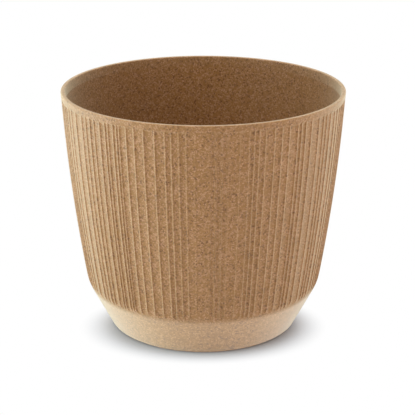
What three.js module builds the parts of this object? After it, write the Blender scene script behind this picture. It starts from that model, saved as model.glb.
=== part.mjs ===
// Fluted plant pot, moulded in one piece from wood-plastic composite, with a push-in drain plug.
// Millimetres, +Z up. The origin is the middle of the circle that the foot ring stands on.
// The pot is open at the top. Its wall is a gently bowed cone on a steeper plain base cone, and
// narrow ridges with irregular flutes between them run down the wall and die out on the base cone.

import * as THREE from "three";

// Outer form
const POT_HEIGHT = 165;
const RIM_DIAMETER = 190;
const SHOULDER_HEIGHT = 31.8;
const SHOULDER_DIAMETER = 160.8;
const BASE_DIAMETER = 128;
const WALL_BOW = 1.9;
const SHOULDER_DRAW_IN = 0.4;
const BASE_EDGE_RADIUS = 2.5;

// Moulded walls
const WALL_THICKNESS = 2.8;
const FLOOR_THICKNESS = 3.6;
const RIM_ROUNDING = 0.7;
const INNER_CORNER_RADIUS = 5;
const INNER_SHOULDER_SPREAD = 5;
const FOOT_WIDTH = 4;
const FOOT_HEIGHT = 2.5;
const FOOT_DRAFT = 0.6;

// Flutes: the bands above and below them stay plain
const RIM_BAND = 4;
const FLUTE_DEPTH = 0.8;
const FLUTE_END_LENGTH = 1.8;
const PLAIN_MARGIN = 1.8;
const RIDGE_WIDTH = 0.7;
const RIDGE_FLANK = 0.55;
const WIDEST_RIDGE_SHARE = 0.6;

// Degrees from each ridge to the next over half a turn, from the left side round the front to the
// right side. The back repeats them.
const FLUTE_ANGLES = [
  3.1, 2.8, 3.5, 2.6, 2.4, 3.4, 2.6, 3.0, 3.0, 4.3, 4.7, 2.8, 2.7, 2.6, 3.3, 2.8, 1.5, 2.6, 1.6,
  1.3, 3.2, 3.4, 4.0, 4.4, 4.1, 2.4, 2.9, 2.8, 3.3, 5.5, 2.1, 2.3, 2.3, 4.3, 3.6, 2.1, 2.0, 2.6,
  3.8, 3.3, 3.4, 4.1, 1.9, 2.3, 3.3, 4.6, 3.3, 2.5, 3.0, 3.7, 3.1, 3.2, 2.6, 2.9, 3.5, 2.5, 3.4,
  2.9, 2.8,
];

// Drain hole and its plug
const DRAIN_DIAMETER = 16;
const PLUG_CLEARANCE = 0.3;
const PLUG_FLANGE_OVERLAP = 3.7;
const PLUG_FLANGE_THICKNESS = 1.6;
const PLUG_EDGE_CHAMFER = 0.3;
const PLUG_TAPER = 0.5;
const PLUG_WALL = 2.2;
const PLUG_GROUND_CLEARANCE = 0.8;

// Facets
const RIM_SIDES = 96;
const DRAIN_SIDES = 32;
const WALL_STEPS = 3;
const SHOULDER_STEPS = 2;
const INNER_WALL_STEPS = 4;
const INNER_SHOULDER_STEPS = 3;
const ROUNDING_STEPS = 2;
const CORNER_STEPS = 4;
const SEARCH_STEPS = 40;

const FULL_TURN = 2 * Math.PI;
const HALF_TURN = Math.PI;

// Worked out from the sizes above
const rimRadius = RIM_DIAMETER / 2;
const shoulderRadius = SHOULDER_DIAMETER / 2;
const baseRadius = BASE_DIAMETER / 2;
const drainRadius = DRAIN_DIAMETER / 2;
const floorHeight = FOOT_HEIGHT + FLOOR_THICKNESS;
const flangeRadius = drainRadius + PLUG_FLANGE_OVERLAP;
const seatRadius = flangeRadius + PLUG_CLEARANCE;
const seatHeight = floorHeight - PLUG_FLANGE_THICKNESS - PLUG_CLEARANCE;
const coneSlope = (shoulderRadius - baseRadius) / SHOULDER_HEIGHT;
const coneAngle = Math.atan(coneSlope);
const coneWallThickness = WALL_THICKNESS / Math.cos(coneAngle);
const fluteTop = POT_HEIGHT - RIM_BAND;

// Radius of the bowed wall at a height, from the shoulder's sharp corner up to the rim.
function wallRadius(z) {
  const share = (z - SHOULDER_HEIGHT) / (POT_HEIGHT - SHOULDER_HEIGHT);
  const bow = 4 * WALL_BOW * share * (1 - share);
  return shoulderRadius + (rimRadius - shoulderRadius) * share + bow;
}

// Radius of the straight base cone at a height.
function coneRadius(z) {
  return baseRadius + coneSlope * z;
}

// The smaller of two radii, with the corner where they cross drawn in by SHOULDER_DRAW_IN.
function blendedMinimum(a, b) {
  const softness = SHOULDER_DRAW_IN / Math.log(2);
  const smaller = Math.min(a, b);
  return smaller - softness * Math.log1p(Math.exp(-Math.abs(a - b) / softness));
}

// Outside of the pot on a ridge and on the plain bands.
function outerRadius(z) {
  return blendedMinimum(wallRadius(z), coneRadius(z));
}

// Floor of a flute: the wall set in by the flute's depth, until it comes out on the base cone.
function fluteRadius(z) {
  const end = THREE.MathUtils.clamp((fluteTop - z) / FLUTE_END_LENGTH, 0, 1);
  const depth = FLUTE_DEPTH * Math.sin((end * Math.PI) / 2);
  return Math.min(outerRadius(z), wallRadius(z) - depth);
}

// Inside of the pot, parallel to the plain outside.
function innerRadius(z) {
  return blendedMinimum(wallRadius(z) - WALL_THICKNESS, coneRadius(z) - coneWallThickness);
}

// Height where a flute's floor meets the base cone, found by halving.
function fluteEndHeight() {
  let low = 0;
  let high = SHOULDER_HEIGHT;
  for (let step = 0; step < SEARCH_STEPS; step += 1) {
    const middle = (low + high) / 2;
    if (wallRadius(middle) - FLUTE_DEPTH < outerRadius(middle)) {
      high = middle;
    } else {
      low = middle;
    }
  }
  return low;
}

// Angles of the ridges' middles over the whole turn, starting at the left side.
function ridgeAngles() {
  const sum = FLUTE_ANGLES.reduce((total, angle) => total + angle, 0);
  const angles = [];
  for (const start of [0, HALF_TURN]) {
    let passed = 0;
    for (const angle of FLUTE_ANGLES) {
      angles.push(start + (passed / sum) * HALF_TURN);
      passed += angle;
    }
  }
  return angles;
}

// Corners of all flutes over the whole turn: each has a ridge edge and a floor edge on both sides.
function fluteCorners() {
  const ridges = ridgeAngles();
  return ridges.flatMap((ridge, index) => {
    const next = index + 1 < ridges.length ? ridges[index + 1] : FULL_TURN;
    const room = next - ridge;
    const wanted = (RIDGE_WIDTH + 2 * RIDGE_FLANK) / rimRadius;
    const scale = Math.min(1, (WIDEST_RIDGE_SHARE * room) / wanted) / rimRadius;
    const edge = (RIDGE_WIDTH / 2) * scale;
    const foot = (RIDGE_WIDTH / 2 + RIDGE_FLANK) * scale;
    return [
      { angle: ridge + edge, onRidge: true },
      { angle: ridge + foot, onRidge: false },
      { angle: next - foot, onRidge: false },
      { angle: next - edge, onRidge: true },
    ];
  });
}

// A plain ring of points round the pot's axis.
function plainRing(radius, z, sides = RIM_SIDES) {
  const points = [];
  for (let side = 0; side < sides; side += 1) {
    points.push({ angle: (side / sides) * FULL_TURN, radius, z });
  }
  return points;
}

// A ring that follows the ridges and flutes at one height.
function flutedRing(z, corners) {
  return corners.map(({ angle, onRidge }) => {
    return { angle, radius: onRidge ? outerRadius(z) : fluteRadius(z), z };
  });
}

// Evenly spaced heights from one to another, both included.
function heights(from, to, steps) {
  return Array.from({ length: steps + 1 }, (_, step) => from + ((to - from) * step) / steps);
}

// Points of an arc in the pot's section, as [radius, height] pairs.
function arc(centreRadius, centreHeight, size, from, to, steps) {
  return heights(from, to, steps).map((angle) => {
    return [centreRadius + size * Math.cos(angle), centreHeight + size * Math.sin(angle)];
  });
}

// Rounding between a level face at a height and a cone that passes through a radius there.
function coneCorner(radius, height, size, steps) {
  const centre = radius - (size * (1 - Math.sin(coneAngle))) / Math.cos(coneAngle);
  return arc(centre, height + size, size, -Math.PI / 2, -coneAngle, steps);
}

// Joins closed rings of points, each to the next and the last to the first, into one closed skin.
// The rings may have different numbers of points.
function skinOverRings(rings) {
  const positions = [];
  const indices = [];
  const starts = rings.map((ring) => {
    const start = positions.length / 3;
    for (const { angle, radius, z } of ring) {
      positions.push(-radius * Math.cos(angle), -radius * Math.sin(angle), z);
    }
    return start;
  });
  rings.forEach((ring, index) => {
    const after = (index + 1) % rings.length;
    const nextRing = rings[after];
    const point = (number) => starts[index] + (number % ring.length);
    const nextPoint = (number) => starts[after] + (number % nextRing.length);
    const reach = (points, number) => {
      return points[number % points.length].angle + (number < points.length ? 0 : FULL_TURN);
    };
    let here = 0;
    let there = 0;
    while (here < ring.length || there < nextRing.length) {
      const moveHere = there === nextRing.length
        || (here < ring.length && reach(ring, here + 1) <= reach(nextRing, there + 1));
      if (moveHere) {
        indices.push(point(here), point(here + 1), nextPoint(there));
        here += 1;
      } else {
        indices.push(point(here), nextPoint(there + 1), nextPoint(there));
        there += 1;
      }
    }
  });
  const geometry = new THREE.BufferGeometry();
  geometry.setAttribute("position", new THREE.Float32BufferAttribute(positions, 3));
  geometry.setIndex(indices);
  geometry.computeVertexNormals();
  return geometry;
}

// Rings up the outside, from the foot ring to the rim.
function outsideRings() {
  const corners = fluteCorners();
  const fluteEnd = fluteEndHeight();
  const shoulderTop = 2 * SHOULDER_HEIGHT - fluteEnd;
  const fullDepth = fluteTop - FLUTE_END_LENGTH;
  const foot = coneCorner(baseRadius, 0, BASE_EDGE_RADIUS, ROUNDING_STEPS);
  const rim = arc(
    rimRadius - RIM_ROUNDING, POT_HEIGHT - RIM_ROUNDING, RIM_ROUNDING, 0, Math.PI / 2, ROUNDING_STEPS,
  );
  const flutedHeights = [
    ...heights(fluteEnd, shoulderTop, SHOULDER_STEPS),
    ...heights(shoulderTop, fullDepth, WALL_STEPS).slice(1),
    fluteTop,
  ];
  const plainBand = fluteEnd - PLAIN_MARGIN;
  return [
    ...foot.map(([radius, z]) => plainRing(radius, z)),
    plainRing(outerRadius(plainBand), plainBand),
    ...flutedHeights.map((z) => flutedRing(z, corners)),
    ...rim.map(([radius, z]) => plainRing(radius, z)),
  ];
}

// Rings down the inside, from the rim to the floor and into the seat of the drain plug.
function insideRings() {
  const rim = arc(
    rimRadius - WALL_THICKNESS + RIM_ROUNDING, POT_HEIGHT - RIM_ROUNDING, RIM_ROUNDING,
    Math.PI / 2, Math.PI, ROUNDING_STEPS,
  );
  const floorCone = coneRadius(floorHeight) - coneWallThickness;
  const corner = coneCorner(floorCone, floorHeight, INNER_CORNER_RADIUS, CORNER_STEPS).reverse();
  const shoulderTop = SHOULDER_HEIGHT + INNER_SHOULDER_SPREAD;
  const shoulderFoot = SHOULDER_HEIGHT - INNER_SHOULDER_SPREAD;
  const wallHeights = [
    ...heights(POT_HEIGHT - RIM_ROUNDING, shoulderTop, INNER_WALL_STEPS).slice(1),
    ...heights(shoulderTop, shoulderFoot, INNER_SHOULDER_STEPS).slice(1),
  ];
  return [
    ...rim.map(([radius, z]) => plainRing(radius, z)),
    ...wallHeights.map((z) => plainRing(innerRadius(z), z)),
    ...corner.map(([radius, z]) => plainRing(radius, z)),
    plainRing(seatRadius, floorHeight, DRAIN_SIDES),
    plainRing(seatRadius, seatHeight, DRAIN_SIDES),
    plainRing(drainRadius, seatHeight, DRAIN_SIDES),
  ];
}

// Rings over the underside, from the drain hole out to the inner edge of the foot ring.
function undersideRings() {
  const contactRadius = coneCorner(baseRadius, 0, BASE_EDGE_RADIUS, ROUNDING_STEPS)[0][0];
  const recessRadius = contactRadius - FOOT_WIDTH;
  return [
    plainRing(drainRadius, FOOT_HEIGHT, DRAIN_SIDES),
    plainRing(recessRadius - FOOT_DRAFT, FOOT_HEIGHT),
    plainRing(recessRadius, 0),
  ];
}

function potShell() {
  const geometry = skinOverRings([...outsideRings(), ...insideRings(), ...undersideRings()]);
  const material = new THREE.MeshStandardMaterial({ color: 0xb08a62, roughness: 0.8, metalness: 0 });
  const mesh = new THREE.Mesh(geometry, material);
  mesh.name = "pot_shell";
  return mesh;
}

// A soft bung: its flange lies flush in the floor's seat, and its hollow tapered stem fills the hole.
function drainPlug() {
  const top = floorHeight;
  const underFlange = top - PLUG_FLANGE_THICKNESS;
  const stemRadius = drainRadius - PLUG_CLEARANCE;
  const stemEnd = PLUG_GROUND_CLEARANCE;
  const hollowRadius = stemRadius - PLUG_TAPER - PLUG_WALL;
  const profile = [
    [0, underFlange],
    [hollowRadius, underFlange],
    [hollowRadius, stemEnd],
    [stemRadius - PLUG_TAPER, stemEnd],
    [stemRadius, underFlange],
    [flangeRadius, underFlange],
    [flangeRadius, top - PLUG_EDGE_CHAMFER],
    [flangeRadius - PLUG_EDGE_CHAMFER, top],
    [0, top],
  ].map(([radius, z]) => new THREE.Vector2(radius, z));
  const geometry = new THREE.LatheGeometry(profile, DRAIN_SIDES);
  geometry.rotateX(Math.PI / 2);
  const material = new THREE.MeshStandardMaterial({ color: 0x5f4630, roughness: 0.6, metalness: 0 });
  const mesh = new THREE.Mesh(geometry, material);
  mesh.name = "drain_plug";
  return mesh;
}

const group = new THREE.Group();
group.add(potShell(), drainPlug());

export default group;
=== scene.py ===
# %% [markdown]
# # A fluted plant pot in wood-plastic composite
# The pot is one moulding: a bowed wall with an irregular set of flutes, on a plain base cone that
# draws in faster. A rubber bung closes the drain hole in its floor. The CAD model gives the true
# sizes and stays the frame of this scene. What is made here is the fine surface that the CAD leaves
# out: soft ridge tops, hollow flute floors, a soft foot edge and the flecked material.

# %% Load the frame
import math
import random

import bpy
import numpy as np
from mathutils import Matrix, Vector


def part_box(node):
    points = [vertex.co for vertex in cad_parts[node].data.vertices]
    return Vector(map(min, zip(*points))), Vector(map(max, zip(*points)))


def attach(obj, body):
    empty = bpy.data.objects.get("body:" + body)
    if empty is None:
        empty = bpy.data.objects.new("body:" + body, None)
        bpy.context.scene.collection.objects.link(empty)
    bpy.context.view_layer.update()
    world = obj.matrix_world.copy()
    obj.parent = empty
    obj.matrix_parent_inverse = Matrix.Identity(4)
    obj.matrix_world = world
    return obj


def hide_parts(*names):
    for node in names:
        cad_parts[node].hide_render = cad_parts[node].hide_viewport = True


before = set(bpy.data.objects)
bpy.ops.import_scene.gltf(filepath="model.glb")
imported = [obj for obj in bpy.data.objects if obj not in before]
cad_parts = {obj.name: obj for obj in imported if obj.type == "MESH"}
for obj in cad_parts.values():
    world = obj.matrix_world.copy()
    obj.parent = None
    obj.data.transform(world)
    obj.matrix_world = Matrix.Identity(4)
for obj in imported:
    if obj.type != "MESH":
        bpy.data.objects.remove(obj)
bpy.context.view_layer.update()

# %% [markdown]
# ## Helpers
# Colours are written as sRGB hex, as a colour picker shows them, and Blender's shaders want linear
# light, so one function turns one into the other. A second one adds a shader node, sets its values
# and links its inputs, which keeps each material readable from top to bottom.

# %% Helpers for colours and nodes
def colour(hex_code):
    """Linear RGBA of an sRGB hex colour such as '#b08a62'."""
    channels = [int(hex_code[place : place + 2], 16) / 255 for place in (1, 3, 5)]
    linear = [c / 12.92 if c <= 0.04045 else ((c + 0.055) / 1.055) ** 2.4 for c in channels]
    return (*linear, 1.0)


def add_node(tree, kind, inputs=None, **settings):
    """A new node. inputs maps a socket's name or number to a value or to another node's output."""
    node = tree.nodes.new(kind)
    for name, value in settings.items():
        setattr(node, name, value)
    for name, value in (inputs or {}).items():
        if isinstance(value, bpy.types.NodeSocket):
            tree.links.new(value, node.inputs[name])
        else:
            node.inputs[name].default_value = value
    return node


def new_material(name):
    """An empty material and its node tree."""
    material = bpy.data.materials.new(name)
    material.use_nodes = True
    material.node_tree.nodes.clear()
    return material, material.node_tree


# The Mix node has sockets of every type under the same names, so the ones for colours go by number.
MIX_FACTOR, MIX_A, MIX_B, MIX_RESULT = 0, 6, 7, 2
print("Middle grey #808080 in linear light:", round(colour("#808080")[0], 3))

# %% [markdown]
# ## The camera
# The ellipses of the rim give the viewing angle, and how much wider the near rim looks than the far
# one gives the distance. A long lens from just under a metre, looking down by 19 degrees, fits both.
# The pot stands a little left of the picture's middle, which the lens shift takes up.

# %% Camera
# Distances in metres, lens and sensor in millimetres, places in the picture in pixels.
CAMERA_DISTANCE = 0.9297
CAMERA_PITCH = math.radians(19.317)
AIM_HEIGHT = 0.0799
FOCAL_LENGTH = 117.0
SENSOR_WIDTH = 36.0
PICTURE_WIDTH = 415
POT_AXIS_X = 203.25
VIEW_END = 50.0

camera_data = bpy.data.cameras.new("photo_camera")
camera_data.lens = FOCAL_LENGTH
camera_data.sensor_width = SENSOR_WIDTH
camera_data.shift_x = (PICTURE_WIDTH / 2 - POT_AXIS_X) / PICTURE_WIDTH
camera_data.clip_end = VIEW_END
camera = bpy.data.objects.new("photo_camera", camera_data)
camera.location = (
    0.0,
    -CAMERA_DISTANCE * math.cos(CAMERA_PITCH),
    AIM_HEIGHT + CAMERA_DISTANCE * math.sin(CAMERA_PITCH),
)
camera.rotation_euler = (math.pi / 2 - CAMERA_PITCH, 0.0, 0.0)
bpy.context.scene.collection.objects.link(camera)
bpy.context.scene.camera = camera
print("Camera at", [round(c, 4) for c in camera.location])

# %% [markdown]
# ## The floor's paint
# The photograph shows the pot on white, with a soft shadow that ends two or three centimetres from
# the foot. A floor that is lit until it clips would wash out the pot as well. So this floor is matt
# and has two paints. The real one is nearly white and sends light up under the pot. The one that the
# camera sees is greyer and cooler: it is a painted shade round the foot, which gives the shadow the
# depth it has in the photograph. Away from the foot the camera sees a plain glow of strength 1, which
# is white, and mirrored rays see that white all over. The matt light on the pot stays that of the
# real paint.

# %% Floor paint
FLOOR_COLOUR = "#f9f9f9"
# Painted shade: the darker, cooler paint that the camera sees round the foot.
FLOOR_PAINTED_SHADE = "#bcc4cf"
# A place on the floor is stretched and moved before its distance from the middle is taken, in
# metres, so the fade to white is an oval that reaches further to the sides and the front. Inside
# the oval the camera sees the darker painted shade.
FADE_SHAPE = (0.96, 1.31, 1.0)
FADE_SHIFT = (0.0, 0.026, 0.0)
WHITE_FROM = 0.052
WHITE_AT = 0.0835
WHITE = (1, 1, 1, 1)


def seen_rays(tree):
    """Two outputs: 1 on mirrored and refracted rays, and 1 on those and on the camera's own."""
    path = add_node(tree, "ShaderNodeLightPath")
    mirrored = add_node(tree, "ShaderNodeMath", {
        0: path.outputs["Is Glossy Ray"], 1: path.outputs["Is Transmission Ray"],
    }, operation="MAXIMUM")
    seen = add_node(tree, "ShaderNodeMath", {
        0: path.outputs["Is Camera Ray"], 1: mirrored.outputs[0],
    }, operation="MAXIMUM")
    return mirrored.outputs[0], seen.outputs[0]


floor_paint, tree = new_material("matt_white_studio_floor")
mirrored, seen = seen_rays(tree)
place = add_node(tree, "ShaderNodeTexCoord")
# Painted shade: the camera sees the darker paint, while the light on the pot comes from the real one.
paint = add_node(tree, "ShaderNodeMix", {
    MIX_FACTOR: seen, MIX_A: colour(FLOOR_COLOUR), MIX_B: colour(FLOOR_PAINTED_SHADE),
}, data_type="RGBA")
matt = add_node(tree, "ShaderNodeBsdfDiffuse", {"Color": paint.outputs[MIX_RESULT]})
stretched = add_node(tree, "ShaderNodeVectorMath", {
    0: place.outputs["Object"], 1: FADE_SHAPE, 2: FADE_SHIFT,
}, operation="MULTIPLY_ADD")
away = add_node(tree, "ShaderNodeVectorMath", {0: stretched.outputs[0]}, operation="LENGTH")
fade = add_node(tree, "ShaderNodeMapRange", {
    "Value": away.outputs["Value"], "From Min": WHITE_FROM, "From Max": WHITE_AT, "To Max": seen,
}, interpolation_type="SMOOTHSTEP")
whiteness = add_node(tree, "ShaderNodeMath", {
    0: fade.outputs[0], 1: mirrored,
}, operation="MAXIMUM")
glow = add_node(tree, "ShaderNodeEmission", {"Color": WHITE, "Strength": 1.0})
floor_mix = add_node(tree, "ShaderNodeMixShader", {
    0: whiteness.outputs[0], 1: matt.outputs[0], 2: glow.outputs[0],
})
add_node(tree, "ShaderNodeOutputMaterial", {"Surface": floor_mix.outputs[0]})
print("Floor paint", FLOOR_COLOUR, "seen as", FLOOR_PAINTED_SHADE)

# %% [markdown]
# ## Floor and world
# The floor is a plain square, so large that its edge stays out of the picture. The world is the
# even light of a white room, and it gives the pot most of its light from all sides. Seen directly
# or in a reflection it is white too.

# %% Floor and world
FLOOR_SIZE = 12.0
WORLD_STRENGTH = 0.47

floor_mesh = bpy.data.meshes.new("studio_floor")
half = FLOOR_SIZE / 2
floor_mesh.from_pydata(
    [(-half, -half, 0), (half, -half, 0), (half, half, 0), (-half, half, 0)], [], [(0, 1, 2, 3)]
)
floor = bpy.data.objects.new("studio_floor", floor_mesh)
floor.data.materials.append(floor_paint)
bpy.context.scene.collection.objects.link(floor)

world = bpy.data.worlds.new("pale_studio")
world.use_nodes = True
tree = world.node_tree
tree.nodes.clear()
ambient = add_node(tree, "ShaderNodeBackground", {"Color": WHITE, "Strength": WORLD_STRENGTH})
white_room = add_node(tree, "ShaderNodeBackground", {"Color": WHITE, "Strength": 1.0})
world_mix = add_node(tree, "ShaderNodeMixShader", {
    0: seen_rays(tree)[1], 1: ambient.outputs[0], 2: white_room.outputs[0],
})
add_node(tree, "ShaderNodeOutputWorld", {"Surface": world_mix.outputs[0]})
bpy.context.scene.world = world
print("Floor", FLOOR_SIZE, "m wide, world strength", WORLD_STRENGTH)

# %% [markdown]
# ## The lamps
# The world alone would light the pot evenly. In the photograph both flanks are much lighter than
# the front, and paler too, while the inside is dark. Two strip boxes that stand low beside the pot
# do that: they reach the outside and pass under the rim. The left side is the stronger and the
# cooler, so each ridge catches a bright line on its left flank and falls dark on its right, and the
# right side is warm. A box overhead brightens the floor, which lights the base cone from below,
# and draws the round shadow.

# %% Lamps
# Each lamp: azimuth in degrees from the front (positive to the viewer's right), height and distance
# in metres, width and height of the box in metres, power in watts and colour.
LAMPS = {
    "left_strip_box": (-90, 0.10, 1.3, 0.8, 0.2, 13.5, "#ecfcfa"),
    "left_box": (-60, 0.65, 1.4, 0.8, 0.8, 6.0, "#ecfcfa"),
    "right_strip_box": (88, 0.10, 1.3, 0.8, 0.2, 4.8, "#ffe2c2"),
    "front_right_box": (30, 0.25, 1.5, 0.7, 0.4, 2.0, "#ffe9cf"),
    "overhead_box": (180, 1.60, 0.05, 1.6, 1.6, 27.0, "#ffffff"),
}
AIM_POINT = Vector((0.0, 0.0, 0.09))
for name, (azimuth, height, distance, box_width, box_height, power, shade) in LAMPS.items():
    lamp_data = bpy.data.lights.new(name, "AREA")
    lamp_data.shape = "RECTANGLE"
    lamp_data.size = box_width
    lamp_data.size_y = box_height
    lamp_data.energy = power
    lamp_data.color = colour(shade)[:3]
    lamp = bpy.data.objects.new(name, lamp_data)
    turn = math.radians(azimuth)
    lamp.location = (distance * math.sin(turn), -distance * math.cos(turn), height)
    lamp.rotation_euler = (AIM_POINT - lamp.location).to_track_quat("-Z", "Y").to_euler()
    lamp.visible_camera = False
    bpy.context.scene.collection.objects.link(lamp)
bpy.context.scene.view_settings.view_transform = "Standard"
print("Lamps:", ", ".join(LAMPS))

# %% [markdown]
# ## The pot's section
# The outline is the CAD's own: a wall that bows out between shoulder and rim, a straight base cone,
# and a smooth minimum of the two where they meet. Heights and radii are in millimetres here,
# because that is how a mould maker writes them, and the mesh is scaled to metres at the end.

# %% Sizes
# In millimetres, from the axis and the ground. Rim radius and height come from the CAD model.
MM = 0.001
pot_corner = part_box("pot_shell")[1]
RIM_RADIUS = pot_corner[0] / MM
POT_HEIGHT = pot_corner[2] / MM
SHOULDER_HEIGHT = 31.8
SHOULDER_RADIUS = 80.4
BASE_RADIUS = 64.0
WALL_BOW = 1.9
SHOULDER_DRAW_IN = 0.4
BASE_EDGE_RADIUS = 2.5
WALL_THICKNESS = 2.8
FLOOR_THICKNESS = 3.6
RIM_ROUNDING = 0.7
INNER_CORNER_RADIUS = 5.0
FOOT_WIDTH = 4.0
FOOT_HEIGHT = 2.5
FOOT_DRAFT = 0.6
DRAIN_RADIUS = 8.0
SEAT_RADIUS = 12.0
SEAT_DEPTH = 1.9
SEAT_CHAMFER = 0.3

FLOOR_HEIGHT = FOOT_HEIGHT + FLOOR_THICKNESS
CONE_SLOPE = (SHOULDER_RADIUS - BASE_RADIUS) / SHOULDER_HEIGHT
CONE_ANGLE = math.atan(CONE_SLOPE)
CONE_WALL = WALL_THICKNESS / math.cos(CONE_ANGLE)
print("Rim radius", round(RIM_RADIUS, 2), "mm, height", round(POT_HEIGHT, 2), "mm")

# %% [markdown]
# ## Radii and roundings
# Every ring of points needs the pot's radius at its height, so outside and inside are functions of
# the height. The inside runs parallel to the plain outside, and the roundings of rim, foot and
# inner corner are short arcs of the same section.

# %% Section
def wall_radius(z):
    """Radius of the bowed wall at a height."""
    share = (z - SHOULDER_HEIGHT) / (POT_HEIGHT - SHOULDER_HEIGHT)
    bow = 4 * WALL_BOW * share * (1 - share)
    return SHOULDER_RADIUS + (RIM_RADIUS - SHOULDER_RADIUS) * share + bow


def cone_radius(z):
    """Radius of the straight base cone at a height."""
    return BASE_RADIUS + CONE_SLOPE * z


def blended_minimum(a, b):
    """The smaller of two radii, with the corner where they cross drawn in."""
    softness = SHOULDER_DRAW_IN / math.log(2)
    return np.minimum(a, b) - softness * np.log1p(np.exp(-np.abs(a - b) / softness))


def outer_radius(z):
    """Outside of the pot on a ridge and on the plain bands."""
    return blended_minimum(wall_radius(z), cone_radius(z))


def inner_radius(z):
    """Inside of the pot, parallel to the plain outside."""
    return blended_minimum(wall_radius(z) - WALL_THICKNESS, cone_radius(z) - CONE_WALL)


def arc(centre_radius, centre_height, size, start, end, steps):
    """Points of an arc in the section, as (radius, height) pairs."""
    angles = np.linspace(start, end, steps + 1)
    return [(centre_radius + size * math.cos(a), centre_height + size * math.sin(a)) for a in angles]


def cone_corner(radius, height, size, steps):
    """Rounding between a level face and a cone that passes through a radius at its height."""
    centre = radius - size * (1 - math.sin(CONE_ANGLE)) / math.cos(CONE_ANGLE)
    return arc(centre, height + size, size, -math.pi / 2, -CONE_ANGLE, steps)


half_way = (SHOULDER_HEIGHT + POT_HEIGHT) / 2
print("Radius half way up the wall:", round(float(outer_radius(half_way)), 2), "mm")

# %% [markdown]
# ## The flutes
# Each ridge is a narrow rounded bead, flush with the plain band under the rim or up to a tenth of a
# millimetre below it. Between two ridges the wall falls by about 0.46 mm down the flanks, and then
# by up to 0.34 mm more into a hollow that leans to one side. Towards the rim the flutes get a quarter
# shallower. The spacing is uneven on purpose, which makes the wall look like combed bark, so the
# angles are a list read off one by one. Chance gives each ridge its small drop, and each flute its
# exact depth, its lean and the place of its upper end.

# %% Flute layout
# Lengths in millimetres. A share is a part of the whole, HOLLOW_FOR_WIDTH is the depth of a hollow
# for each millimetre of its flute's width, and FLOOR_LEAN is how far it may lean to one side.
RIM_BAND = 4.0
FLUTE_END_LENGTH = 1.8
END_SHIFT = 0.3
RIDGE_WIDTH = 0.5
RIDGE_FLANK = 0.7
RIDGE_DROP = 0.1
WIDEST_RIDGE_SHARE = 0.6
FLANK_DEPTH = 0.46
DEEPEST_HOLLOW = 0.34
HOLLOW_FOR_WIDTH = 0.09
FLOOR_LEAN = 0.3
LEAST_DEPTH_SHARE = 0.85
GREATEST_DEPTH_SHARE = 1.1
TOP_DEPTH_SHARE = 0.75
FLUTE_TOP = POT_HEIGHT - RIM_BAND

# Degrees from each ridge to the next over half a turn, from the left side round the front to the
# right side. The back repeats them.
FLUTE_ANGLES = [
    3.1, 2.8, 3.5, 2.6, 2.4, 3.4, 2.6, 3.0, 3.0, 4.3, 4.7, 2.8, 2.7, 2.6, 3.3, 2.8, 1.5, 2.6, 1.6,
    1.3, 3.2, 3.4, 4.0, 4.4, 4.1, 2.4, 2.9, 2.8, 3.3, 5.5, 2.1, 2.3, 2.3, 4.3, 3.6, 2.1, 2.0, 2.6,
    3.8, 3.3, 3.4, 4.1, 1.9, 2.3, 3.3, 4.6, 3.3, 2.5, 3.0, 3.7, 3.1, 3.2, 2.6, 2.9, 3.5, 2.5, 3.4,
    2.9, 2.8,
]

# The share of the usual depth that shallow flutes have, by their place in the list. Two in the
# middle of the front are nearly flush with their ridges, and two right of them are a little shallow.
SHALLOW_FLUTES = {28: 0.45, 29: 0.3, 33: 0.7, 34: 0.8}
print("Flutes:", 2 * len(FLUTE_ANGLES), "from", min(FLUTE_ANGLES), "to", max(FLUTE_ANGLES), "degrees")

# %% [markdown]
# ## The columns of the wall
# A groove could be cut with a boolean or painted as a displacement. Here each flute is a few columns
# of points that run the height of the wall, and every column knows how far it lies below the ridge
# tops. That keeps the flanks clean, and the depth can change with the height.

# %% Flute columns
FLUTE_SEED = 11
FLANK_STEPS = 5
HOLLOW_STEPS = 8


def smooth_step(x):
    """0 below 0, 1 above 1, and a smooth rise between."""
    x = np.clip(x, 0.0, 1.0)
    return x * x * (3 - 2 * x)


def flute_columns():
    """Angles round the wall, how far each lies below the ridge tops, and shifts of the ends."""
    rng = random.Random(FLUTE_SEED)
    widths = np.array(FLUTE_ANGLES * 2) / sum(FLUTE_ANGLES) * math.pi
    starts = np.concatenate([[0.0], np.cumsum(widths)[:-1]])
    count = len(widths)
    ridge_drop = [rng.uniform(0.0, RIDGE_DROP) for _ in range(count)]
    angles = []
    insets = []
    end_shifts = []
    for number in range(count):
        width = widths[number] * RIM_RADIUS
        fit = min(1.0, WIDEST_RIDGE_SHARE * width / (RIDGE_WIDTH + 2 * RIDGE_FLANK))
        top = RIDGE_WIDTH / 2 * fit
        flank = RIDGE_FLANK * fit
        rise = np.linspace(top, top + flank, FLANK_STEPS + 1)
        hollow_run = np.linspace(top + flank, width - top - flank, HOLLOW_STEPS + 1)
        across = np.concatenate([[0.0], rise, hollow_run[1:-1], (width - rise)[::-1]])
        usual = SHALLOW_FLUTES.get(number % len(FLUTE_ANGLES), 1.0)
        strength = usual * rng.uniform(LEAST_DEPTH_SHARE, GREATEST_DEPTH_SHARE)
        hollow = min(DEEPEST_HOLLOW, HOLLOW_FOR_WIDTH * width)
        lean = rng.uniform(-FLOOR_LEAN, FLOOR_LEAN)
        end_shift = rng.uniform(-END_SHIFT, END_SHIFT)
        here = ridge_drop[number]
        after = ridge_drop[(number + 1) % count]
        for place in across:
            share = place / width
            side = (min(place, width - place) - top) / flank
            arch = math.sin(math.pi * share) * (1 + lean * math.cos(math.pi * share))
            inset = strength * (FLANK_DEPTH * smooth_step(side) + hollow * arch)
            angles.append(starts[number] + widths[number] * share)
            insets.append(inset + here * (1 - share) + after * share)
            end_shifts.append(end_shift)
    return np.array(angles), np.array(insets), np.array(end_shifts)


columns, insets, end_shifts = flute_columns()


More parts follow.
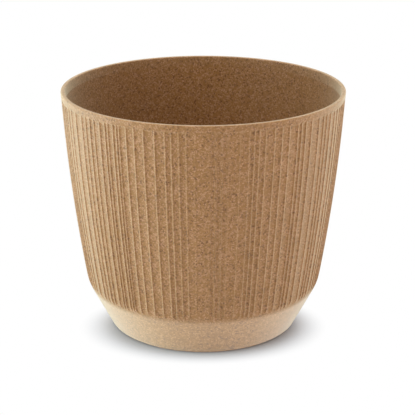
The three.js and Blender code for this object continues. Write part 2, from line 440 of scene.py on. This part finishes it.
def fluted_radius(z):
    """Radius of every column at a height: the wall set in by its flute, down to the base cone."""
    reach = np.clip((FLUTE_TOP + end_shifts - z) / FLUTE_END_LENGTH, 0.0, 1.0)
    height_share = np.clip((z - SHOULDER_HEIGHT) / (FLUTE_TOP - SHOULDER_HEIGHT), 0.0, 1.0)
    shallower = 1.0 - (1.0 - TOP_DEPTH_SHARE) * height_share
    depth = insets * shallower * np.sin(reach * math.pi / 2)
    return np.minimum(outer_radius(z), wall_radius(z) - depth)


print(len(columns), "columns, the deepest", round(float(insets.max()), 2), "mm below the ridge tops")

# %% [markdown]
# ## Rings of points
# A lathe can't make this wall, because its radius changes round the turn, and a boolean for each
# flute leaves ragged slivers. So the skin is laid over closed rings of points, one ring after the
# other up the outside, over the rim, down the inside and back along the underside. A ring may have
# as many points as its stretch needs: many in the fluted wall, fewer where the pot is plain.

# %% Plain and fluted rings
PLAIN_SIDES = 384
DRAIN_SIDES = 96


def plain_ring(radius, z, sides=PLAIN_SIDES):
    """A round ring: angles, radii and height."""
    return np.arange(sides) / sides * 2 * math.pi, np.full(sides, float(radius)), z


def fluted_ring(z):
    """A ring that follows the ridges and flutes at one height."""
    return columns, fluted_radius(z), z


print("Points in a fluted ring:", len(columns), "and in a plain one:", PLAIN_SIDES)

# %% [markdown]
# ## Faces between rings
# Two rings with the same angles are joined by quads, which bend smoothly and are easy to read. Where
# a plain ring meets a fluted one, a strip of triangles walks round both at once and always takes the
# ring that is behind, so it needs no matching points.

# %% Faces between rings
def strip(first, first_start, second, second_start):
    """Triangles between two rings, always taking the next point that comes first by angle."""
    turn = 2 * math.pi
    a = np.append(first[0], first[0][0] + turn)
    b = np.append(second[0], second[0][0] + turn)
    here = there = 0
    count_a = len(first[0])
    count_b = len(second[0])
    faces = []
    while here < count_a or there < count_b:
        start = first_start + here % count_a
        over = second_start + there % count_b
        if there == count_b or (here < count_a and a[here + 1] <= b[there + 1]):
            faces.append((start, first_start + (here + 1) % count_a, over))
            here += 1
        else:
            faces.append((start, second_start + (there + 1) % count_b, over))
            there += 1
    return faces


def quads(first_start, second_start, count):
    """Quads between two rings that have the same angles."""
    faces = []
    for here in range(count):
        after = (here + 1) % count
        faces.append((first_start + here, first_start + after, second_start + after, second_start + here))
    return faces


to_flutes = strip(plain_ring(RIM_RADIUS, POT_HEIGHT), 0, fluted_ring(POT_HEIGHT / 2), PLAIN_SIDES)
print("Triangles from a plain ring to a fluted one:", len(to_flutes))

# %% [markdown]
# ## The edges of the pot
# The rim is rounded on both sides of its narrow top. The outer edge of the foot is soft and stands
# a little off the ground, so a thin dark line shows where the pot meets the floor. Inside it a ring
# of plastic carries the pot, round a shallow recess.

# %% Foot, rim and inner corner
EDGE_STEPS = 6
FOOT_GAP = 1.3
FOOT_EDGE_RADIUS = 0.6

contact_radius = cone_corner(BASE_RADIUS, 0.0, BASE_EDGE_RADIUS, EDGE_STEPS)[0][0]
recess_radius = contact_radius - FOOT_WIDTH
foot_edge = [
    (contact_radius, 0.0),
    (contact_radius, FOOT_GAP),
    *cone_corner(cone_radius(FOOT_GAP), FOOT_GAP, FOOT_EDGE_RADIUS, EDGE_STEPS),
]
rim_arc_height = POT_HEIGHT - RIM_ROUNDING
outer_rim = arc(
    RIM_RADIUS - RIM_ROUNDING, rim_arc_height, RIM_ROUNDING, 0.0, math.pi / 2, EDGE_STEPS
)
inner_rim = arc(
    RIM_RADIUS - WALL_THICKNESS + RIM_ROUNDING, rim_arc_height, RIM_ROUNDING,
    math.pi / 2, math.pi, EDGE_STEPS,
)
inner_corner = cone_corner(
    cone_radius(FLOOR_HEIGHT) - CONE_WALL, FLOOR_HEIGHT, INNER_CORNER_RADIUS, EDGE_STEPS
)[::-1]
print("The pot stands on a ring", round(recess_radius, 1), "to", round(contact_radius, 1), "mm out")

# %% [markdown]
# ## Heights of the rings
# The rings stand close together where something ends, at the run-outs on the base cone and under
# the rim band, and far apart on the plain run of the wall, where only its gentle bow needs them.

# %% Heights of the rings
# Heights and the steps from ring to ring, in millimetres.
FLUTE_FOOT = 27.0
RUN_OUT_TOP = 33.5
SHOULDER_TOP = 40.0
INSIDE_BEND_TOP = 38.0
INSIDE_BEND_FOOT = 25.0
FLUTE_END_MARGIN = 0.5
CONE_STEP = 3.0
RUN_OUT_STEP = 0.45
BEND_STEP = 1.3
WALL_STEP = 6.0
FLUTE_END_STEP = 0.3
RIM_BAND_STEP = 1.2


def spaced(start, end, step):
    """Evenly spaced heights from start to end, no further apart than step."""
    count = max(1, math.ceil(abs(end - start) / step))
    return np.linspace(start, end, count + 1)


flute_end_foot = FLUTE_TOP - FLUTE_END_LENGTH - FLUTE_END_MARGIN
flute_end_top = FLUTE_TOP + FLUTE_END_MARGIN
cone_heights = spaced(foot_edge[-1][1], FLUTE_FOOT, CONE_STEP)[1:]
fluted_heights = [
    *spaced(FLUTE_FOOT, RUN_OUT_TOP, RUN_OUT_STEP),
    *spaced(RUN_OUT_TOP, SHOULDER_TOP, BEND_STEP)[1:],
    *spaced(SHOULDER_TOP, flute_end_foot, WALL_STEP)[1:],
    *spaced(flute_end_foot, flute_end_top, FLUTE_END_STEP)[1:],
]
rim_band_heights = spaced(flute_end_top + FLUTE_END_MARGIN, outer_rim[0][1], RIM_BAND_STEP)[:-1]
inside_heights = [
    *spaced(rim_arc_height, INSIDE_BEND_TOP, WALL_STEP)[1:],
    *spaced(INSIDE_BEND_TOP, INSIDE_BEND_FOOT, BEND_STEP)[1:],
    *spaced(INSIDE_BEND_FOOT, inner_corner[0][1], WALL_STEP)[1:-1],
]
print("Rings in the fluted wall:", len(fluted_heights), "and inside:", len(inside_heights))

# %% [markdown]
# ## The rings of the pot
# The rings follow the section from the foot up the outside, over the rim, down the inside, through
# the seat of the plug and the drain hole, and back under the floor to the foot.

# %% Rings of the pot
outside_rings = [
    *[plain_ring(radius, z) for radius, z in foot_edge],
    *[plain_ring(outer_radius(z), z) for z in cone_heights],
    *[fluted_ring(z) for z in fluted_heights],
    *[plain_ring(outer_radius(z), z) for z in rim_band_heights],
    *[plain_ring(radius, z) for radius, z in outer_rim],
    *[plain_ring(radius, z) for radius, z in inner_rim],
]
inside_rings = [
    *[plain_ring(inner_radius(z), z) for z in inside_heights],
    *[plain_ring(radius, z) for radius, z in inner_corner],
    plain_ring(SEAT_RADIUS + SEAT_CHAMFER, FLOOR_HEIGHT, DRAIN_SIDES),
    plain_ring(SEAT_RADIUS, FLOOR_HEIGHT - SEAT_CHAMFER, DRAIN_SIDES),
    plain_ring(SEAT_RADIUS, FLOOR_HEIGHT - SEAT_DEPTH, DRAIN_SIDES),
    plain_ring(DRAIN_RADIUS, FLOOR_HEIGHT - SEAT_DEPTH, DRAIN_SIDES),
    plain_ring(DRAIN_RADIUS, FOOT_HEIGHT, DRAIN_SIDES),
    plain_ring(recess_radius - FOOT_DRAFT, FOOT_HEIGHT),
    plain_ring(recess_radius, 0.0),
]
print("Rings outside:", len(outside_rings), "and inside:", len(inside_rings))

# %% [markdown]
# ## The pot's shell
# All rings become one closed mesh. Outside and inside have different skins, so each face gets the
# place of its material at once, by the ring that it starts from. Edges that turn by more than 60
# degrees are kept sharp, and everything else is shaded smooth.

# %% Pot shell
SHARP_ANGLE = math.radians(60)


def skin_over_rings(name, rings, inside_from):
    """A closed mesh over rings, each joined to the next and the last to the first.

    The faces from ring inside_from on take the second material.
    """
    points = []
    starts = []
    for angles, radii, z in rings:
        starts.append(len(points))
        xs = -radii * np.cos(angles) * MM
        ys = -radii * np.sin(angles) * MM
        points.extend(zip(xs.tolist(), ys.tolist(), [z * MM] * len(angles)))
    faces = []
    material_places = []
    for number, ring in enumerate(rings):
        after = (number + 1) % len(rings)
        other = rings[after]
        if len(ring[0]) == len(other[0]):
            joined = quads(starts[number], starts[after], len(ring[0]))
        else:
            joined = strip(ring, starts[number], other, starts[after])
        faces.extend(joined)
        material_places.extend([int(number >= inside_from)] * len(joined))
    mesh = bpy.data.meshes.new(name)
    mesh.from_pydata(points, [], faces)
    mesh.polygons.foreach_set("material_index", material_places)
    mesh.polygons.foreach_set("use_smooth", [True] * len(mesh.polygons))
    mesh.update()
    return mesh


shell_mesh = skin_over_rings("moulded_shell", outside_rings + inside_rings, len(outside_rings))
shell = bpy.data.objects.new("moulded_shell", shell_mesh)
bpy.context.scene.collection.objects.link(shell)
shell.data.set_sharp_from_angle(angle=SHARP_ANGLE)
print("Shell:", len(shell.data.vertices), "points,", len(shell.data.polygons), "faces")

# %% [markdown]
# ## Flecks in moulded wood-plastic composite
# The pot is polypropylene filled with wood flour and fibre, injection moulded. The eye knows it by
# the pale and dark wood flecks in a warm brown matrix, and by a faint mottle where the filler is
# richer. Two cell patterns make the flecks: each cell has its own random number, and it shows as a
# fleck where that is high. Wood flour is finer than half a millimetre, which is less than a pixel
# here, so the flecks are drawn 0.8 to 1 mm wide, as coarse as they need to show. The mottle's noise
# stays mostly between 0.3 and 0.7, so that range is spread over the whole change of tone.

# %% Fleck colours
MATRIX_BROWN = "#885c27"
PALE_WOOD = "#a77c5b"
DARK_BARK = "#653a0a"
PALE_FLECK_SIZE = 0.8 * MM
DARK_FLECK_SIZE = 1.0 * MM
MOTTLE_SIZE = 7.0 * MM
PALE_FROM = 0.5
DARK_FROM = 0.78
MOTTLE_SPREAD = 0.05


def flecked_brown(tree, point):
    """The brown matrix with its pale and dark flecks, mottled a little lighter and darker."""
    pale_cells = add_node(tree, "ShaderNodeTexVoronoi", {
        "Vector": point, "Scale": 1 / PALE_FLECK_SIZE, "Randomness": 1.0,
    }, feature="F1")
    pale_chance = add_node(tree, "ShaderNodeSeparateColor", {"Color": pale_cells.outputs["Color"]})
    pale_pick = add_node(tree, "ShaderNodeMapRange", {
        "Value": pale_chance.outputs[0], "From Min": PALE_FROM, "From Max": 1.0,
    })
    dark_cells = add_node(tree, "ShaderNodeTexVoronoi", {
        "Vector": point, "Scale": 1 / DARK_FLECK_SIZE, "Randomness": 1.0,
    }, feature="F1")
    dark_chance = add_node(tree, "ShaderNodeSeparateColor", {"Color": dark_cells.outputs["Color"]})
    dark_pick = add_node(tree, "ShaderNodeMapRange", {
        "Value": dark_chance.outputs[1], "From Min": DARK_FROM, "From Max": 1.0,
    })
    with_pale = add_node(tree, "ShaderNodeMix", {
        MIX_FACTOR: pale_pick.outputs[0], MIX_A: colour(MATRIX_BROWN), MIX_B: colour(PALE_WOOD),
    }, data_type="RGBA")
    with_dark = add_node(tree, "ShaderNodeMix", {
        MIX_FACTOR: dark_pick.outputs[0], MIX_A: with_pale.outputs[MIX_RESULT],
        MIX_B: colour(DARK_BARK),
    }, data_type="RGBA")
    mottle = add_node(tree, "ShaderNodeTexNoise", {
        "Vector": point, "Scale": 1 / MOTTLE_SIZE, "Detail": 3.0, "Roughness": 0.55,
    })
    tone = add_node(tree, "ShaderNodeMapRange", {
        "Value": mottle.outputs["Fac"], "From Min": 0.3, "From Max": 0.7,
        "To Min": 1 - MOTTLE_SPREAD, "To Max": 1 + MOTTLE_SPREAD,
    })
    mottled = add_node(tree, "ShaderNodeVectorMath", {
        0: with_dark.outputs[MIX_RESULT], "Scale": tone.outputs[0],
    }, operation="SCALE")
    return mottled.outputs[0]


print("Pale flecks", round(PALE_FLECK_SIZE / MM, 2), "mm, dark", round(DARK_FLECK_SIZE / MM, 2), "mm")

# %% [markdown]
# ## The skin of the composite
# The moulding is matt, so its roughness is about 0.55 and changes a little with a fine grain in its
# skin, and its IOR is close to polypropylene's 1.49. Fine fibre ends stand in it and catch the light
# where it is seen at a flat angle, like the nap of felt: that is the sheen, and it makes the flanks
# paler than the front. The inside, moulded against the core, has less of it. The outside of the base
# cone faces down to the bright floor, and its colour is painted paler there: that is painted light
# from the floor. The cone is also smoother than the wall, so it gets a lower roughness and a thin soft
# coat, and the painted light, roughness and coat end where the flutes run out.

# %% Composite skin
COMPOSITE_IOR = 1.47
LEAST_ROUGHNESS = 0.45
GREATEST_ROUGHNESS = 0.65
GRAIN_SIZE = 0.35 * MM
GRAIN_DEPTH = 0.04 * MM
GRAIN_STRENGTH = 0.6
OUTSIDE_SHEEN = 0.72
INSIDE_SHEEN = 0.35
SHEEN_ROUGHNESS = 0.5
SHEEN_TINT = "#fffbdd"
CONE_LIGHT_AND_POLISH_TOP = 30.0 * MM
CONE_LIGHT_AND_POLISH_FULL = 26.0 * MM
# Painted light: this tint makes the base cone paler, standing in for light from the bright floor.
CONE_PAINTED_BOUNCE_LIGHT = (1.27, 1.3, 1.03, 1.0)
CONE_ROUGHNESS_SHARE = 0.8
COAT_ROUGHNESS = 0.3
COAT_IOR = 1.6


def composite_skin(name, sheen_weight, cone_painted_light_and_polish):
    """The flecked composite. The last argument is 1 where the base cone gets painted light and a smoother
    skin.
    """
    material, tree = new_material(name)
    point = add_node(tree, "ShaderNodeTexCoord").outputs["Object"]
    height = add_node(tree, "ShaderNodeSeparateXYZ", {0: point})
    on_cone = add_node(tree, "ShaderNodeMapRange", {
        "Value": height.outputs["Z"], "From Min": CONE_LIGHT_AND_POLISH_TOP, "From Max": CONE_LIGHT_AND_POLISH_FULL,
        "To Max": cone_painted_light_and_polish,
    }, interpolation_type="SMOOTHSTEP")
    # Painted light: the tint that paints the outside of the base cone paler.
    cone_painted_light = add_node(tree, "ShaderNodeMix", {
        MIX_FACTOR: on_cone.outputs[0], MIX_A: WHITE, MIX_B: CONE_PAINTED_BOUNCE_LIGHT,
    }, data_type="RGBA")
    base_colour = add_node(tree, "ShaderNodeVectorMath", {
        0: flecked_brown(tree, point), 1: cone_painted_light.outputs[MIX_RESULT],
    }, operation="MULTIPLY")
    grain = add_node(tree, "ShaderNodeTexNoise", {
        "Vector": point, "Scale": 1 / GRAIN_SIZE, "Detail": 2.0, "Roughness": 0.6,
    })
    relief = add_node(tree, "ShaderNodeBump", {
        "Height": grain.outputs["Fac"], "Distance": GRAIN_DEPTH, "Strength": GRAIN_STRENGTH,
    })
    grain_roughness = add_node(tree, "ShaderNodeMapRange", {
        "Value": grain.outputs["Fac"], "To Min": LEAST_ROUGHNESS, "To Max": GREATEST_ROUGHNESS,
    })
    smoothing = add_node(tree, "ShaderNodeMapRange", {
        "Value": on_cone.outputs[0], "To Min": 1.0, "To Max": CONE_ROUGHNESS_SHARE,
    })
    roughness = add_node(tree, "ShaderNodeMath", {
        0: grain_roughness.outputs[0], 1: smoothing.outputs[0],
    }, operation="MULTIPLY")
    surface = add_node(tree, "ShaderNodeBsdfPrincipled", {
        "Base Color": base_colour.outputs[0],
        "Roughness": roughness.outputs[0],
        "IOR": COMPOSITE_IOR,
        "Normal": relief.outputs[0],
        "Coat Weight": on_cone.outputs[0],
        "Coat Roughness": COAT_ROUGHNESS,
        "Coat IOR": COAT_IOR,
        "Sheen Weight": sheen_weight,
        "Sheen Roughness": SHEEN_ROUGHNESS,
        "Sheen Tint": colour(SHEEN_TINT),
    })
    add_node(tree, "ShaderNodeOutputMaterial", {"Surface": surface.outputs[0]})
    return material


# The order is the one that skin_over_rings counts on: first the outside, then the inside.
shell.data.materials.append(composite_skin("moulded_wood_plastic_composite", OUTSIDE_SHEEN, 1.0))
shell.data.materials.append(composite_skin("core_side_wood_plastic_composite", INSIDE_SHEEN, 0.0))
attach(shell, "pot")
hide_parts("pot_shell")
print("Skins of the shell:", ", ".join(material.name for material in shell.data.materials))

# %% [markdown]
# ## The drain plug
# A rubber bung lies flush in its seat in the floor. It is a small turned form, so a section is
# spun round the axis. The flange has a worn-soft edge and the stem is hollow from below.

# %% Drain plug
PLUG_TOP = FLOOR_HEIGHT
PLUG_FLANGE_RADIUS = 11.7
PLUG_FLANGE_THICKNESS = 1.6
PLUG_STEM_RADIUS = 7.7
PLUG_TAPER = 0.5
PLUG_WALL = 2.2
PLUG_GROUND_CLEARANCE = 0.8
PLUG_EDGE = 0.3
PLUG_EDGE_STEPS = 4
PLUG_SIDES = 96


def soft_edge(radius, height, start):
    """A quarter round of the plug's edges, about a centre and from a starting angle."""
    return arc(radius, height, PLUG_EDGE, start, start + math.pi / 2, PLUG_EDGE_STEPS)


under_flange = PLUG_TOP - PLUG_FLANGE_THICKNESS
stem_tip = PLUG_STEM_RADIUS - PLUG_TAPER
hollow_radius = stem_tip - PLUG_WALL
stem_end = PLUG_GROUND_CLEARANCE + PLUG_EDGE
plug_section = [
    (0.0, under_flange),
    (hollow_radius - PLUG_EDGE, under_flange),
    (hollow_radius, under_flange - PLUG_EDGE),
    *soft_edge(hollow_radius + PLUG_EDGE, stem_end, math.pi),
    *soft_edge(stem_tip - PLUG_EDGE, stem_end, -math.pi / 2),
    (PLUG_STEM_RADIUS, under_flange),
    *soft_edge(PLUG_FLANGE_RADIUS - PLUG_EDGE, under_flange + PLUG_EDGE, -math.pi / 2),
    *soft_edge(PLUG_FLANGE_RADIUS - PLUG_EDGE, PLUG_TOP - PLUG_EDGE, 0.0),
    (0.0, PLUG_TOP),
]


def turned_form(name, section, sides):
    """A closed mesh spun from a section whose first and last points lie on the axis."""
    points = [(0.0, 0.0, section[0][1] * MM)]
    for radius, z in section[1:-1]:
        for k in range(sides):
            angle = 2 * math.pi * k / sides
            points.append((radius * math.cos(angle) * MM, radius * math.sin(angle) * MM, z * MM))
    points.append((0.0, 0.0, section[-1][1] * MM))
    last = len(points) - 1
    rows = len(section) - 2
    faces = [(0, 1 + (k + 1) % sides, 1 + k) for k in range(sides)]
    for row in range(rows - 1):
        faces.extend(quads(1 + row * sides, 1 + (row + 1) * sides, sides))
    top = 1 + (rows - 1) * sides
    faces.extend((top + k, top + (k + 1) % sides, last) for k in range(sides))
    mesh = bpy.data.meshes.new(name)
    mesh.from_pydata(points, [], faces)
    mesh.polygons.foreach_set("use_smooth", [True] * len(mesh.polygons))
    mesh.set_sharp_from_angle(angle=SHARP_ANGLE)
    mesh.update()
    return mesh


plug = bpy.data.objects.new("rubber_bung", turned_form("rubber_bung", plug_section, PLUG_SIDES))
bpy.context.scene.collection.objects.link(plug)
print("Plug:", len(plug.data.vertices), "points, flange radius", PLUG_FLANGE_RADIUS, "mm")

# %% [markdown]
# ## Moulded brown rubber
# The bung is soft vulcanised rubber, pressed in a mould. It is dark, matt and a little cloudy, because
# wax blooms to its surface in patches of a few millimetres. One noise gives both the tint and
# the roughness, so a patch is paler and duller at once. Rubber's IOR is about 1.52.

# %% Rubber
RUBBER_BROWN = "#4b3624"
BLOOMED_BROWN = "#5f4630"
BLOOM_SIZE = 3.0 * MM
RUBBER_IOR = 1.52
CLEAN_ROUGHNESS = 0.45
BLOOMED_ROUGHNESS = 0.65

rubber, tree = new_material("moulded_brown_rubber")
place = add_node(tree, "ShaderNodeTexCoord")
bloom = add_node(tree, "ShaderNodeTexNoise", {
    "Vector": place.outputs["Object"], "Scale": 1 / BLOOM_SIZE, "Detail": 4.0,
})
tint = add_node(tree, "ShaderNodeMix", {
    MIX_FACTOR: bloom.outputs["Fac"], MIX_A: colour(RUBBER_BROWN), MIX_B: colour(BLOOMED_BROWN),
}, data_type="RGBA")
dullness = add_node(tree, "ShaderNodeMapRange", {
    "Value": bloom.outputs["Fac"], "To Min": CLEAN_ROUGHNESS, "To Max": BLOOMED_ROUGHNESS,
})
rubber_surface = add_node(tree, "ShaderNodeBsdfPrincipled", {
    "Base Color": tint.outputs[MIX_RESULT], "Roughness": dullness.outputs[0], "IOR": RUBBER_IOR,
})
add_node(tree, "ShaderNodeOutputMaterial", {"Surface": rubber_surface.outputs[0]})
plug.data.materials.append(rubber)
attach(plug, "plug")
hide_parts("drain_plug")
print("Rubber bloom in patches of", round(BLOOM_SIZE / MM, 1), "mm")
